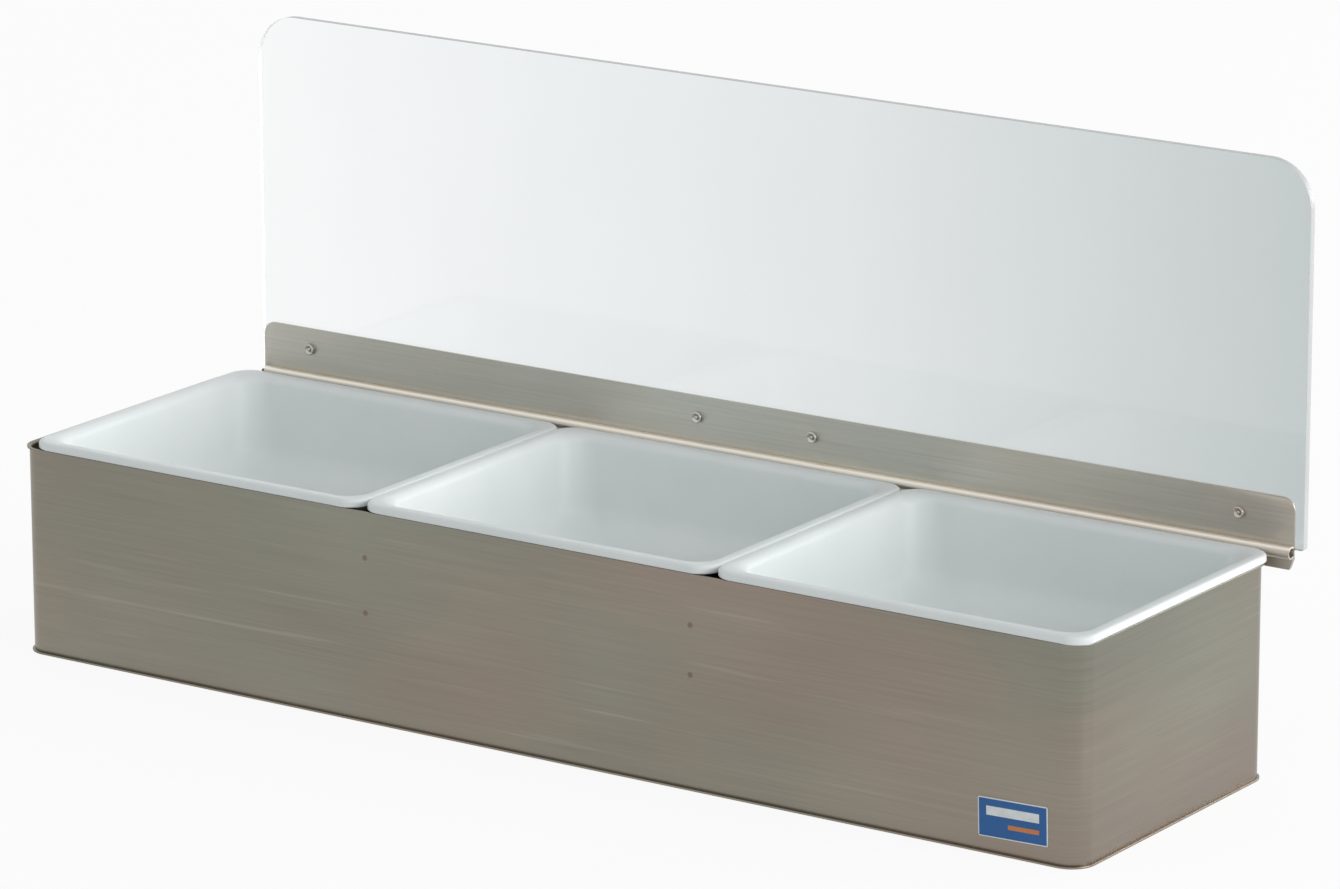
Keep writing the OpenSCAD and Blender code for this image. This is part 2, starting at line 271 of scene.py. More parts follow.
bpy.ops.object.select_all(action="DESELECT")
bpy.ops.mesh.primitive_grid_add(x_subdivisions=4, y_subdivisions=4, size=FLOOR_SIDE)
floor = bpy.context.object
floor.name = "studio_floor"
paper, tree, sheet = new_material("studio_paper")
sheet.inputs["Roughness"].default_value = 1.0
sheet.inputs["Specular IOR Level"].default_value = 0.0
sheet.inputs["Base Color"].default_value = (FLOOR_GREY, FLOOR_GREY, FLOOR_GREY, 1.0)
glow = add_node(tree, "ShaderNodeEmission")
glow.inputs["Strength"].default_value = 1.0
share = math_node(tree, "MULTIPLY", seen_directly(tree), FLOOR_GLOW_SHARE)
mix_shaders(tree, share, sheet.outputs[0], glow.outputs[0], tree.nodes["Material Output"])
floor.data.materials.append(paper)
print("floor", FLOOR_SIDE, "m square")

# %% [markdown]
# # Grain and spots as node groups
#
# Brushed sheet gets its look from thousands of hair lines that all run one way,
# and from broad patches where the belt pressed a little more or less. One group
# makes both, and each metal uses it with its own fineness and strength, so the
# trough, the strip and the rod differ but belong together. A second group makes
# a round soft-edged spot, which the weld marks use.


# %% The brushed grain group
def build_grain_group():
    """Hair lines that run along X of the vector it is given, and broad patches."""
    group, start, end = new_group(
        "brushed_grain",
        [("Vector", "NodeSocketVector", None), ("Fineness", "NodeSocketFloat", 1.0),
         ("Patch Size", "NodeSocketFloat", 9.0)],
        [("Lines", "NodeSocketFloat"), ("Scratches", "NodeSocketFloat"),
         ("Patches", "NodeSocketFloat"), ("Tint", "NodeSocketFloat")])
    vector = start.outputs["Vector"]
    hair = noise(group, mapping(group, vector, (14.0, 1100.0, 1100.0)),
                 start.outputs["Fineness"], detail=4.0, roughness=0.65)
    group.links.new(hair, end.inputs["Lines"])
    longer = mapping(group, vector, (9.0, 330.0, 330.0), (3.1, 7.7, 1.3))
    scratches = ramp(group, noise(group, longer, 1.0), [(0.66, 0.0), (0.74, 1.0)])
    group.links.new(scratches, end.inputs["Scratches"])
    for label, shift in (("Patches", 0.0), ("Tint", 5.3)):
        moved = mapping(group, vector, (0.6, 1.0, 1.0), (shift, shift, shift))
        group.links.new(noise(group, moved, start.outputs["Patch Size"]), end.inputs[label])
    return group


grain_group = build_grain_group()
print("group", grain_group.name, "has", len(grain_group.nodes), "nodes")


# %% The spot group, for weld marks
def build_spot_group():
    """A soft-edged ball mask: 1 inside the radius round a centre, 0 outside."""
    group, start, end = new_group(
        "round_spot",
        [("Vector", "NodeSocketVector", None), ("Centre", "NodeSocketVector", None),
         ("Radius", "NodeSocketFloat", 0.001)],
        [("Mask", "NodeSocketFloat")])
    away = add_node(group, "ShaderNodeVectorMath", operation="DISTANCE")
    group.links.new(start.outputs["Vector"], away.inputs[0])
    group.links.new(start.outputs["Centre"], away.inputs[1])
    share = math_node(group, "DIVIDE", away.outputs["Value"], start.outputs["Radius"])
    group.links.new(map_range(group, share, (1.25, 0.75), curve="SMOOTHSTEP"), end.inputs["Mask"])
    return group


spot_group = build_spot_group()
print("group", spot_group.name, "has", len(spot_group.nodes), "nodes")

# %% [markdown]
# # The brushed steel
#
# The steel is metal all through, so its colour is the colour of its reflection.
# It is darker here than clean steel in a white room, most of all on the walls and
# the base: that is painted shade, for the dimmer surroundings that the steel reflects.
# The hair lines go into colour, roughness and a very shallow bump, the broad
# patches into colour and a slow waviness, one way towards a warm brown
# and the other towards a green grey. Spot welds leave small brownish dots. The
# walls were brushed flat and bent later, so their lines go round the bends: the
# walls' mesh carries an attribute that says how far along the sheet a point is.
# The top of the roll round the hinge rod gets a painted highlight: a lighter colour where it catches
# the light.

# %% Values that describe the trough and the hinge axis
wall_low, wall_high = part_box("wall_band")
base_low, base_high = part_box("base_pan")
SHEET = 0.8 * MM
LIP_OUT = 1.0 * MM
BASE_OUT = 0.9 * MM
WALL_BEND = 9 * MM
BOX_W = wall_high.x - wall_low.x - 2 * LIP_OUT
BOX_D = wall_high.y - wall_low.y - 2 * LIP_OUT
BOX_H = wall_high.z
WELD_SPOTS_MM = [(-73.8, 64.7), (-73.8, 43.1), (73.8, 63.2), (73.8, 44.2)]
WELD_RADIUS = 1.1 * MM
rod_low, rod_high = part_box("hinge_rod")
AXIS_Y = (rod_low.y + rod_high.y) / 2
AXIS_Z = (rod_low.z + rod_high.z) / 2
ROD_R = (rod_high.z - rod_low.z) / 2
print("trough", round(BOX_W / MM, 1), "x", round(BOX_D / MM, 1), "x", round(BOX_H / MM, 1), "mm")


# %% Mark where the bead's painted highlight goes, in radii of the rod from its axis
HIGHLIGHT_UP_TO = 2.3
LEAF_BEHIND = 1.6


def bead_highlight_mask(tree, place):
    """A mask for the painted highlight: 1 along the top of the roll round the rod, 0 on the leaf
    behind.
    """
    split = add_node(tree, "ShaderNodeSeparateXYZ")
    tree.links.new(place, split.inputs[0])
    heights = (AXIS_Z + ROD_R, AXIS_Z + HIGHLIGHT_UP_TO * ROD_R)
    high = map_range(tree, split.outputs["Z"], heights, curve="SMOOTHSTEP")
    before_leaf = math_node(tree, "LESS_THAN", split.outputs["Y"], AXIS_Y + LEAF_BEHIND * ROD_R)
    return math_node(tree, "MULTIPLY", high, before_leaf)


# %% Make a brushed steel
ALONG_SHEET = "along_sheet"
SCRATCH_COLOUR = (0.55, 0.53, 0.49)
SCRATCH_SHARE = 0.13
WELD_COLOUR = (0.13, 0.075, 0.045)
WELD_SHARE = 0.55
# The lighter colour of the painted highlight along the top of the bead.
BEAD_HIGHLIGHT_COLOUR = (0.86, 0.8, 0.71)
ROUGHNESS_SPREAD = 0.07
GRAIN_DEPTH = 0.01 * MM


def steel(name, colour, warm, cool, roughness, fineness=1.0, lines=0.1,
          waves=0.0, welds=False, bent=False, rolled=False):
    """A brushed metal whose grain runs along X, or along the sheet where it is bent."""
    made, tree, shader = new_material(name)
    shader.inputs["Metallic"].default_value = 1.0
    place = add_node(tree, "ShaderNodeTexCoord")
    grain = add_node(tree, "ShaderNodeGroup", node_tree=grain_group)
    grain.inputs["Fineness"].default_value = fineness
    if bent:
        sheet_place = add_node(tree, "ShaderNodeAttribute", attribute_name=ALONG_SHEET)
        tree.links.new(sheet_place.outputs["Vector"], grain.inputs["Vector"])
    else:
        tree.links.new(place.outputs["Object"], grain.inputs["Vector"])
    tint = ramp(tree, grain.outputs["Tint"], [(0.36, warm), (0.5, colour), (0.64, cool)])
    shade = ramp(tree, grain.outputs["Patches"], [(0.3, 0.9), (0.7, 1.1)])
    patched = mix_colour(tree, 1.0, tint, shade, "MULTIPLY")
    streak = ramp(tree, grain.outputs["Lines"], [(0.25, 1.0 - lines), (0.75, 1.0 + lines)])
    brushed = mix_colour(tree, 1.0, patched, streak, "MULTIPLY")
    scratched = math_node(tree, "MULTIPLY", grain.outputs["Scratches"], SCRATCH_SHARE)
    marked = mix_colour(tree, scratched, brushed, SCRATCH_COLOUR)
    if welds:
        for x, z in WELD_SPOTS_MM:
            spot = add_node(tree, "ShaderNodeGroup", node_tree=spot_group)
            spot.inputs["Centre"].default_value = (x * MM, -BOX_D / 2, z * MM)
            spot.inputs["Radius"].default_value = WELD_RADIUS
            tree.links.new(place.outputs["Object"], spot.inputs["Vector"])
            stain = math_node(tree, "MULTIPLY", spot.outputs["Mask"], WELD_SHARE)
            marked = mix_colour(tree, stain, marked, WELD_COLOUR)
    if rolled:
        # The painted highlight along the top of the bead.
        rubbed = bead_highlight_mask(tree, place.outputs["Object"])
        marked = mix_colour(tree, rubbed, marked, BEAD_HIGHLIGHT_COLOUR)
    tree.links.new(marked, shader.inputs["Base Color"])
    spread = (roughness - ROUGHNESS_SPREAD, roughness + ROUGHNESS_SPREAD)
    rough = map_range(tree, grain.outputs["Lines"], (0.0, 1.0), spread)
    tree.links.new(rough, shader.inputs["Roughness"])
    wavy = bumps(tree, grain.outputs["Patches"], 1.0, waves) if waves else None
    normal = bumps(tree, grain.outputs["Lines"], 0.35, GRAIN_DEPTH, wavy)
    tree.links.new(normal, shader.inputs["Normal"])
    return made


# The dark colours of the walls and the base are painted shade, darker than clean steel, for the dim
# surroundings they reflect.
wall_steel = steel("brushed_wall_steel", (0.25, 0.23, 0.188), (0.265, 0.22, 0.183),
                   (0.24, 0.24, 0.198), 0.36, waves=0.5 * MM, welds=True, bent=True)
base_steel = steel("brushed_base_steel", (0.24, 0.22, 0.18), (0.25, 0.21, 0.17),
                   (0.23, 0.225, 0.185), 0.38)
# The strip's bead gets the painted highlight (rolled=True).
strip_steel = steel("brushed_strip_steel", (0.49, 0.473, 0.42), (0.51, 0.46, 0.4),
                    (0.48, 0.485, 0.44), 0.4, waves=0.4 * MM, rolled=True)
plain_steel = steel("mill_finish_steel", (0.36, 0.35, 0.32), (0.38, 0.35, 0.31),
                    (0.35, 0.355, 0.33), 0.3, fineness=0.6, lines=0.05)
rod_steel = steel("drawn_rod_steel", (0.12, 0.11, 0.1), (0.13, 0.105, 0.09),
                  (0.11, 0.11, 0.1), 0.28, fineness=2.0, lines=0.15)
rivet_metal = steel("rivet_aluminium", (0.52, 0.5, 0.46), (0.54, 0.49, 0.44),
                    (0.5, 0.5, 0.47), 0.25, fineness=0.8, lines=0.08)
print("metals made")

# %% [markdown]
# # White plastic, clear acrylic and the label
#
# The inserts are moulded in a white plastic that is slightly cool and satin, with
# a fine moulded texture and a few rubbed places. The lid is real clear plastic,
# three millimetres of it with light bending in it. Its colour is painted from
# nearly clear at the left to a pale grey at the right: a painted reflection of
# darker surroundings, not a tint of the plastic. The sawn and polished edges are
# a little frosted.


# %% Make the insert plastic
def insert_plastic():
    """Satin white with a fine grain and faint rubbed patches."""
    made, tree, shader = new_material("white_insert_plastic")
    shader.inputs["IOR"].default_value = 1.5
    place = add_node(tree, "ShaderNodeTexCoord")
    cloud = noise(tree, place.outputs["Object"], 28.0, detail=3.0)
    colour = ramp(tree, cloud, [(0.35, (0.755, 0.79, 0.79)), (0.65, (0.785, 0.81, 0.812))])
    tree.links.new(colour, shader.inputs["Base Color"])
    tree.links.new(map_range(tree, cloud, (0.0, 1.0), (0.38, 0.5)), shader.inputs["Roughness"])
    pebble = noise(tree, place.outputs["Object"], 900.0)
    tree.links.new(bumps(tree, pebble, 0.25, 0.03 * MM), shader.inputs["Normal"])
    return made


tub_plastic = insert_plastic()
print("plastic made")


# %% Make the acrylic
def acrylic(name, clear, deep, roughness, through):
    """Clear plastic with a painted reflection: its colour goes from clear at the left to deep at the
    right.
    """
    panel_low, panel_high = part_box("lid_panel")
    made, tree, shader = new_material(name)
    shader.inputs["Transmission Weight"].default_value = through
    shader.inputs["IOR"].default_value = 1.49
    place = add_node(tree, "ShaderNodeTexCoord")
    split = add_node(tree, "ShaderNodeSeparateXYZ")
    tree.links.new(place.outputs["Object"], split.inputs[0])
    # The colour darkens along X towards the right end: a painted reflection of darker surroundings.
    along = map_range(tree, split.outputs["X"], (panel_low.x, panel_high.x))
    middle = tuple(0.45 * c + 0.55 * d for c, d in zip(deep, clear))
    tint = ramp(tree, along, [(0.0, clear), (0.58, middle), (1.0, deep)])
    smear = noise(tree, place.outputs["Object"], 14.0, detail=3.0)
    haze = ramp(tree, smear, [(0.35, 0.985), (0.65, 1.0)])
    tree.links.new(mix_colour(tree, 1.0, tint, haze, "MULTIPLY"), shader.inputs["Base Color"])
    rough = map_range(tree, smear, (0.55, 0.75), (roughness, roughness + 0.03))
    tree.links.new(rough, shader.inputs["Roughness"])
    return made


# Both colours darken towards the right end as a painted reflection; on the edges it is slight.
clear_acrylic_painted_reflection = acrylic("clear_acrylic_painted_reflection", (0.965, 0.98, 0.985), (0.55, 0.6, 0.595), 0.0, 1.0)
edge_acrylic = acrylic("polished_acrylic_edge", (0.74, 0.76, 0.755), (0.7, 0.72, 0.71), 0.4, 0.3)
print("acrylic made")


# %% Make the label inks
def label_ink(name, colour):
    """A glossy printed ink with a little unevenness."""
    made, tree, shader = new_material(name)
    shader.inputs["Roughness"].default_value = 0.3
    place = add_node(tree, "ShaderNodeTexCoord")
    shade = ramp(tree, noise(tree, place.outputs["Object"], 260.0), [(0.3, 0.93), (0.7, 1.05)])
    tree.links.new(mix_colour(tree, 1.0, colour, shade, "MULTIPLY"), shader.inputs["Base Color"])
    return made


blue_ink = label_ink("label_blue_ink", (0.0, 0.1, 0.33))
pale_ink = label_ink("label_pale_edge", (0.76, 0.79, 0.8))
orange_ink = label_ink("label_orange_ink", (0.6, 0.2, 0.05))
print("label inks made")

# %% [markdown]
# # Helpers for modelling
#
# Everything below is made as it would be by hand in edit mode. A rounded
# rectangle is a plane whose corners are bevelled, and a hollow shape is a stack
# of such outlines with bridges between them. A folded sheet is a pencil line
# through the middle of the metal, with its bends, that is pulled along the
# fold and then given its thickness.


# %% Selecting and finishing
def deselect_all():
    """Back to object mode with nothing selected."""
    if bpy.context.object and bpy.context.object.mode != "OBJECT":
        bpy.ops.object.mode_set(mode="OBJECT")
    bpy.ops.object.select_all(action="DESELECT")


def pick(piece, mode="OBJECT"):
    """Selects one piece alone and makes it active, in object or edit mode."""
    deselect_all()
    piece.select_set(True)
    bpy.context.view_layer.objects.active = piece
    bpy.ops.object.mode_set(mode=mode)


def turn_normals_out():
    """In edit mode, selects all and turns every face the same way out."""
    bpy.ops.mesh.select_all(action="SELECT")
    bpy.ops.mesh.normals_make_consistent(inside=False)


def extrude(by):
    """In edit mode, extrudes what is selected by a vector."""
    bpy.ops.mesh.extrude_region_move(TRANSFORM_OT_translate={"value": by})


def open_plane(name, at=(0, 0, 0)):
    """A small new plane, in edit mode and all selected, its object at the origin."""
    deselect_all()
    bpy.ops.mesh.primitive_plane_add(size=1, location=at)
    piece = bpy.context.object
    piece.name = piece.data.name = name
    bpy.ops.object.transform_apply(location=True, rotation=True, scale=True)
    bpy.ops.object.mode_set(mode="EDIT")
    bpy.ops.mesh.select_mode(type="VERT")
    return piece


def choose(piece, test, part="verts"):
    """In edit mode, selects the parts of the mesh whose middle passes the test."""
    bpy.ops.mesh.select_mode(type={"verts": "VERT", "edges": "EDGE", "faces": "FACE"}[part])
    bpy.ops.mesh.select_all(action="DESELECT")
    mesh = bmesh.from_edit_mesh(piece.data)
    for element in getattr(mesh, part):
        if part == "verts":
            middle = element.co
        elif part == "edges":
            middle = (element.verts[0].co + element.verts[1].co) / 2
        else:
            middle = element.calc_center_median()
        if test(middle):
            element.select_set(True)
    mesh.select_flush_mode()
    bmesh.update_edit_mesh(piece.data)


def finish_mesh(piece, body, nodes, materials, angle=35):
    """Smooths, paints and registers a piece, and says how big it came out."""
    pick(piece)
    bpy.ops.object.shade_smooth_by_angle(angle=math.radians(angle))
    piece.data.materials.clear()
    for material in materials:
        piece.data.materials.append(material)
    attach(piece, body)
    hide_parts(*nodes)
    size = [round(s / MM, 1) for s in piece.dimensions]
    print(piece.name, "is", size, "mm with", len(piece.data.polygons), "faces")


def apply_modifier(piece, kind, **settings):
    """Adds a modifier with its settings and applies it at once."""
    pick(piece)
    added = piece.modifiers.new(kind.lower(), kind)
    for key, value in settings.items():
        setattr(added, key, value)
    bpy.ops.object.modifier_apply(modifier=added.name)


def thicken(piece, thickness):
    """Gives a skin through the middle of a sheet the sheet's thickness."""
    apply_modifier(piece, "SOLIDIFY", thickness=thickness, offset=0, use_even_offset=True)


def ease_edges(piece, width, angle=50, segments=2):
    """Takes the sharpness off the edges that are sharper than an angle in degrees."""
    apply_modifier(piece, "BEVEL", width=width, segments=segments, limit_method="ANGLE",
                   angle_limit=math.radians(angle))


# %% A stack of rounded outlines with bridges between them
def add_outline(piece, level, width, depth, radius, centre, segments):
    """In edit mode, adds a rounded rectangle of edges and marks it with its level."""
    bpy.ops.mesh.select_mode(type="VERT")
    bpy.ops.mesh.select_all(action="DESELECT")
    bpy.ops.mesh.primitive_plane_add(size=1, location=centre)
    bpy.ops.transform.resize(value=(width, depth, 1), center_override=centre)
    bpy.ops.mesh.bevel(offset=radius, segments=segments, affect="VERTICES", profile=0.5)
    bpy.ops.mesh.delete(type="ONLY_FACE")
    mesh = bmesh.from_edit_mesh(piece.data)
    marks = mesh.verts.layers.int.get("level") or mesh.verts.layers.int.new("level")
    for vert in mesh.verts:
        if vert[marks] == 0:
            vert[marks] = level
    bmesh.update_edit_mesh(piece.data)


def select_levels(piece, *wanted):
    """In edit mode, selects the edges that lie within one of the outlines wanted."""
    bpy.ops.mesh.select_all(action="DESELECT")
    mesh = bmesh.from_edit_mesh(piece.data)
    marks = mesh.verts.layers.int.get("level")
    for edge in mesh.edges:
        first, second = [vert[marks] for vert in edge.verts]
        if first == second and first in wanted:
            edge.select_set(True)
    bmesh.update_edit_mesh(piece.data)


def stack_outlines(name, levels, segments, first_cap=False, last_cap=False):
    """A skin over outlines given as (width, depth, corner radius, centre)."""
    piece = open_plane(name)
    bpy.ops.mesh.delete(type="VERT")
    for number, (width, depth, radius, centre) in enumerate(levels, start=1):
        add_outline(piece, number, width, depth, radius, centre, segments)
        if number > 1:
            select_levels(piece, number - 1, number)
            bpy.ops.mesh.bridge_edge_loops()
    for wanted, number in ((first_cap, 1), (last_cap, len(levels))):
        if wanted:
            select_levels(piece, number)
            bpy.ops.mesh.edge_face_add()
    turn_normals_out()
    bpy.ops.object.mode_set(mode="OBJECT")
    return piece


# %% A pencil line pulled into a folded sheet
def draw_line(name, points):
    """A new piece, in edit mode, that is a line of edges through the points."""
    piece = open_plane(name, points[0])
    bpy.ops.mesh.merge(type="CENTER")
    for here, there in zip(points, points[1:]):
        extrude(there - here)
    bpy.ops.mesh.select_all(action="SELECT")
    return piece


def pull_sheet(name, line, stops, direction):
    """Draws the line, then pulls it through each stop along a direction."""
    piece = draw_line(name, line)
    bpy.ops.transform.translate(value=direction * stops[0])
    for here, there in zip(stops, stops[1:]):
        extrude(direction * (there - here))
    turn_normals_out()
    return piece


def bend(centre, radius, first, last, steps):
    """Points (depth, height) round a bend, by angles in degrees."""
    angles = [math.radians(first + (last - first) * i / steps) for i in range(steps + 1)]
    return [(centre[0] + radius * math.cos(a), centre[1] + radius * math.sin(a)) for a in angles]


print("helpers ready")

# %% [markdown]
# # The trough's walls
#
# One strip of sheet is bent round four corners and its ends meet in the middle
# of the back. Its top edge turns out to a narrow lip that the inserts' rims
# hang over, so no one meets a cut edge. The skin below runs through the middle of the
# metal; Solidify gives it its thickness and Bevel takes the sharpness off.

# %% Build the walls
LIP_BEND = 0.8 * MM
CORNER_STEPS = 14
LIP_STEPS = 4
SEAM = 0.3 * MM


def build_walls():
    """The bent sheet with its lip, from the base sheet up."""
    foot = base_high.z
    top = BOX_H - SHEET / 2
    reach = SHEET / 2 + LIP_OUT
    wall_radius = WALL_BEND - SHEET / 2
    profile = [(0.0, foot), (0.0, (foot + top) / 2)]
    profile += bend((LIP_BEND, top - LIP_BEND), LIP_BEND, 180, 90, LIP_STEPS)
    profile.append((reach, top))
    levels = [(BOX_W - SHEET + 2 * out, BOX_D - SHEET + 2 * out, wall_radius + out, (0, 0, up))
              for out, up in profile]
    return stack_outlines("trough_walls", levels, CORNER_STEPS)


walls = build_walls()
pick(walls, "EDIT")
for side in (-1, 1):
    choose(walls, lambda p: p.y > BOX_D / 2 - 2 * SHEET, "faces")
    bpy.ops.mesh.bisect(plane_co=(side * SEAM / 2, 0, 0), plane_no=(1, 0, 0))
choose(walls, lambda p: p.y > 0 and abs(p.x) < SEAM / 2 - 1e-6, "faces")
bpy.ops.mesh.delete(type="FACE")
bpy.ops.object.mode_set(mode="OBJECT")
thicken(walls, SHEET)
ease_edges(walls, 0.14 * MM)
finish_mesh(walls, "trough", ["wall_band"], [wall_steel])


# %% Note how far along the sheet each point lies
def along_wall(x, y):
    """The way round the walls from the middle of the front, negative to the left."""
    side, flat_x, flat_y = abs(x), BOX_W / 2 - WALL_BEND, BOX_D / 2 - WALL_BEND
    quarter = WALL_BEND * math.pi / 2
    if y < -flat_y:
        way = min(side, flat_x)
        if side > flat_x:
            way += WALL_BEND * math.atan2(side - flat_x, -flat_y - y)
    elif y <= flat_y:
        way = flat_x + quarter + flat_y + y
    else:
        way = flat_x + quarter + 2 * flat_y + flat_x - min(side, flat_x)
        way += WALL_BEND * math.atan2(y - flat_y, side - flat_x) if side > flat_x else quarter
    return math.copysign(way, x)


sheet_way = walls.data.attributes.new(ALONG_SHEET, "FLOAT_VECTOR", "POINT")
for vert, entry in zip(walls.data.vertices, sheet_way.data):
    entry.vector = (along_wall(vert.co.x, vert.co.y), 0.0, vert.co.z)
print("the sheet is", round(2 * along_wall(SEAM / 2, BOX_D / 2) / MM, 1), "mm long")

# %% [markdown]
# # The base sheet
#
# The walls stand on a flat sheet that is a little larger than they are, so a
# hair of it shows all round. It is a plane with rounded corners, pulled up by
# its thickness, with its edges dressed by a file.

# %% Build the base
BASE_CORNER = WALL_BEND + BASE_OUT


def build_base():
    """A plate under the walls, with soft edges."""
    width = base_high.x - base_low.x
    depth = base_high.y - base_low.y
    levels = [(width, depth, BASE_CORNER, (0, 0, z)) for z in (base_low.z, base_high.z)]
    return stack_outlines("base_sheet", levels, CORNER_STEPS, True, True)


base = build_base()
ease_edges(base, 0.18 * MM)
finish_mesh(base, "trough", ["base_pan"], [base_steel])

# %% [markdown]
# # The dividers
#
# Between the inserts stand two sheets. Each is folded at both ends, and the
# narrow tabs are spot welded to the front and back walls. They are hidden under
# the rims until an insert is lifted out.


# %% Build the dividers
def build_divider(node):
    """A sheet across the trough with a tab turned to the left at each end."""
    low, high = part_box(node)
    half = SHEET / 2
    radius = 1.0 * MM
    sheet_x = high.x - half
    line = [(low.x, low.y + half)]
    line += bend((sheet_x - radius, low.y + half + radius), radius, -90, 0, 5)
    line += bend((sheet_x - radius, high.y - half - radius), radius, 0, 90, 5)
    line += [(low.x, high.y - half)]
    points = [Vector((x, y, low.z)) for x, y in line]
    piece = pull_sheet(node + "_sheet", points, [0, high.z - low.z], Vector((0, 0, 1)))
    bpy.ops.object.mode_set(mode="OBJECT")
    thicken(piece, SHEET)
    ease_edges(piece, 0.12 * MM)
    finish_mesh(piece, "trough", [node], [plain_steel])


for node in ("left_divider", "right_divider"):
    build_divider(node)

# %% [markdown]
# # The inserts
#
# Each insert is a moulded tub with walls that lean in towards a floor with
# generous radii. Its rim rolls over and hangs down as a short skirt, which rests
# on the steel. The section is drawn once, from the middle of the floor up
# the inside, over the rim and back down the outside, as an inset from the rim's
# edge, a height under the rim's top and a corner radius.

# %% Draw the section of an insert
RIM_H = 3.2 * MM
SKIRT = 1.8 * MM
RIM_ROUND = 1.3 * MM
RIM_TOP = 3 * MM
ROLL = 4 * MM
TUB_WALL = 2.2 * MM
LEAN = 3 * MM
FLOOR_RADIUS = 14 * MM
RIM_CORNER = 8.5 * MM
TUB_CORNER = 14 * MM
CROWN = 0.03 * MM
ROUND_STEPS = 7
TUB_STEPS = 14


def insert_section(deep):
    """[(inset, height, corner radius)] from the floor inside to the floor outside."""
    foot_at = FLOOR_RADIUS - deep + TUB_WALL
    wall_in = RIM_TOP + ROLL + LEAN
    centre = (wall_in + FLOOR_RADIUS, foot_at)
    inside = [(x, z, TUB_CORNER) for x, z in bend(centre, FLOOR_RADIUS, 270, 180, ROUND_STEPS)]
    for x, z in bend((RIM_TOP, -ROLL), ROLL, 0, 90, ROUND_STEPS):
        share = (x - RIM_TOP) / (wall_in - RIM_TOP)
        inside.append((x, z, RIM_CORNER + (TUB_CORNER - RIM_CORNER) * share))
    edge = [(x, z, RIM_CORNER) for x, z in
            bend((RIM_ROUND, -RIM_ROUND - CROWN), RIM_ROUND, 90, 180, ROUND_STEPS)]
    lip = 0.35 * MM
    under = [(0.0, lip - RIM_H, RIM_CORNER), (lip, -RIM_H, RIM_CORNER - lip),
             (SKIRT - lip, CROWN - RIM_H, RIM_CORNER - SKIRT + lip),
             (SKIRT, lip - RIM_H, RIM_CORNER - SKIRT),
             (SKIRT, -TUB_WALL - CROWN, RIM_CORNER - SKIRT)]
    neck = [(x, z, RIM_CORNER) for x, z in
            bend((RIM_TOP, -ROLL), ROLL - TUB_WALL, 90, 0, ROUND_STEPS)]
    outside = [(x, z, TUB_CORNER + TUB_WALL) for x, z in
               bend(centre, FLOOR_RADIUS + TUB_WALL, 180, 270, ROUND_STEPS)]
    return inside + edge + under + neck + outside


# %% Mould the first insert and copy it
def build_insert(node, name):
    """One tub, in the place of its solid."""
    low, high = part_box(node)
    width, depth = high.x - low.x, high.y - low.y
    middle = (low.x + high.x) / 2
    levels = [(width - 2 * inset, depth - 2 * inset, radius, (middle, 0, high.z + up))
              for inset, up, radius in insert_section(high.z - low.z)]
    return stack_outlines(name, levels, TUB_STEPS, True, True)


first_tub = build_insert("left_insert", "left_tub_shell")
first_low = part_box("left_insert")[0]
for node, name, body in (("middle_insert", "middle_tub_shell", "middle_tub"),
                         ("right_insert", "right_tub_shell", "right_tub")):
    pick(first_tub)
    bpy.ops.object.duplicate()
    copy = bpy.context.object
    copy.name = copy.data.name = name
    bpy.ops.transform.translate(value=(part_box(node)[0].x - first_low.x, 0, 0))
    bpy.ops.object.transform_apply(location=True, rotation=False, scale=False)
    finish_mesh(copy, body, [node], [tub_plastic], 40)
finish_mesh(first_tub, "left_tub", ["left_insert"], [tub_plastic], 40)

# %% [markdown]
# # The hinge strip
#
# The lid is held by a long strip of steel. Seen from its end the sheet comes
# down behind the rod, is folded back up on itself as a hem, and rolls right
# round the rod as a bead. Three windows are cut in the bead so that the
# brackets' eyes can reach the rod. The line of that section is pulled along in
# stops, and faces are deleted where the windows are.

# %% Values that describe the hinge
strip_low, strip_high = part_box("lid_strip")
STRIP = 0.75 * MM
BRACKET = 0.7 * MM
BEAD_R = strip_high.y - AXIS_Y - STRIP / 2
HEM_FOLD = STRIP / 2 + 0.01 * MM
LEAF_CORNER = 5 * MM
HEM_CORNER = 3.4 * MM
BEAD_CUT = 2.4 * MM
PAST_CORNER = 0.5 * MM
LEAF_STEPS = 6
ROLL_END = -342
ROLL_STEPS = 30
EYE_W = 14 * MM
bracket_nodes = ("left_hinge_bracket", "middle_hinge_bracket", "right_hinge_bracket")
bracket_at = [(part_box(n)[0].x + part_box(n)[1].x) / 2 for n in bracket_nodes]
SIDE_PLAY = 14 * MM
WINDOW_GAP = 0.3 * MM
WINDOW_W = EYE_W + SIDE_PLAY + 2 * WINDOW_GAP
windows = [(x - EYE_W / 2 - WINDOW_GAP, x - EYE_W / 2 - WINDOW_GAP + WINDOW_W) for x in bracket_at]
print("hinge axis", round(AXIS_Y / MM, 2), round(AXIS_Z / MM, 2), "rod", round(ROD_R / MM, 2), "mm")


